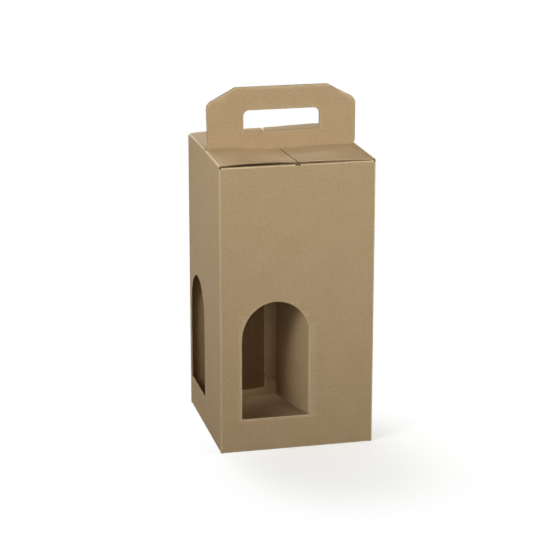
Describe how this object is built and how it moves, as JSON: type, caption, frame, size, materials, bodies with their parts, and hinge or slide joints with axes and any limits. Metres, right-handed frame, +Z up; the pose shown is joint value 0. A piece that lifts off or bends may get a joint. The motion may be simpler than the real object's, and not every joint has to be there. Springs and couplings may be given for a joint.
{
  "type": "bottle carry carton",
  "caption": "Square upright brown micro-flute board carton with arched panel windows, folded-in dividers, a flat flap lid and a double carry handle with a hand hole, for wine bottles.",
  "frame": {"origin": "middle of the underside", "axes": "+Z up along the walls to the handle, -Y out of the front panel, +X to the right of someone facing the front panel"},
  "size_m": [0.18, 0.18, 0.4084],
  "materials": {
    "kraft_board": "matte brown kraft liner on micro-flute board, cut edges show the flutes"
  },
  "bodies": {
    "carton": {"carton": "kraft_board"},
    "top_flap_front_left": {"top_flap_front_left": "kraft_board"},
    "top_flap_front_right": {"top_flap_front_right": "kraft_board"},
    "top_flap_back_left": {"top_flap_back_left": "kraft_board"},
    "top_flap_back_right": {"top_flap_back_right": "kraft_board"},
    "divider_front": {"divider_front": "kraft_board"},
    "divider_right": {"divider_right": "kraft_board"},
    "divider_back": {"divider_back": "kraft_board"},
    "divider_left": {"divider_left": "kraft_board"}
  },
  "joints": [
    {"name": "top_flap_front_left_hinge", "type": "hinge", "parent": "carton", "child": "top_flap_front_left", "pos_m": [-0.09, -0.0458, 0.338], "axis": [0, -1, 0], "range_deg": [0, 175]},
    {"name": "top_flap_front_right_hinge", "type": "hinge", "parent": "carton", "child": "top_flap_front_right", "pos_m": [0.09, -0.0458, 0.338], "axis": [0, 1, 0], "range_deg": [0, 175]},
    {"name": "top_flap_back_left_hinge", "type": "hinge", "parent": "carton", "child": "top_flap_back_left", "pos_m": [-0.09, 0.0458, 0.338], "axis": [0, -1, 0], "range_deg": [0, 175]},
    {"name": "top_flap_back_right_hinge", "type": "hinge", "parent": "carton", "child": "top_flap_back_right", "pos_m": [0.09, 0.0458, 0.338], "axis": [0, 1, 0], "range_deg": [0, 175]},
    {"name": "divider_front_hinge", "type": "hinge", "parent": "carton", "child": "divider_front", "pos_m": [0.015, -0.0885, 0.11], "axis": [0, 0, -1], "range_deg": [-75, 8]},
    {"name": "divider_right_hinge", "type": "hinge", "parent": "carton", "child": "divider_right", "pos_m": [0.0885, 0, 0.11], "axis": [0, 0, -1], "range_deg": [-75, 15]},
    {"name": "divider_back_hinge", "type": "hinge", "parent": "carton", "child": "divider_back", "pos_m": [-0.015, 0.0885, 0.11], "axis": [0, 0, -1], "range_deg": [-75, 8]},
    {"name": "divider_left_hinge", "type": "hinge", "parent": "carton", "child": "divider_left", "pos_m": [-0.0885, 0, 0.11], "axis": [0, 0, -1], "range_deg": [-75, 15]}
  ]
}
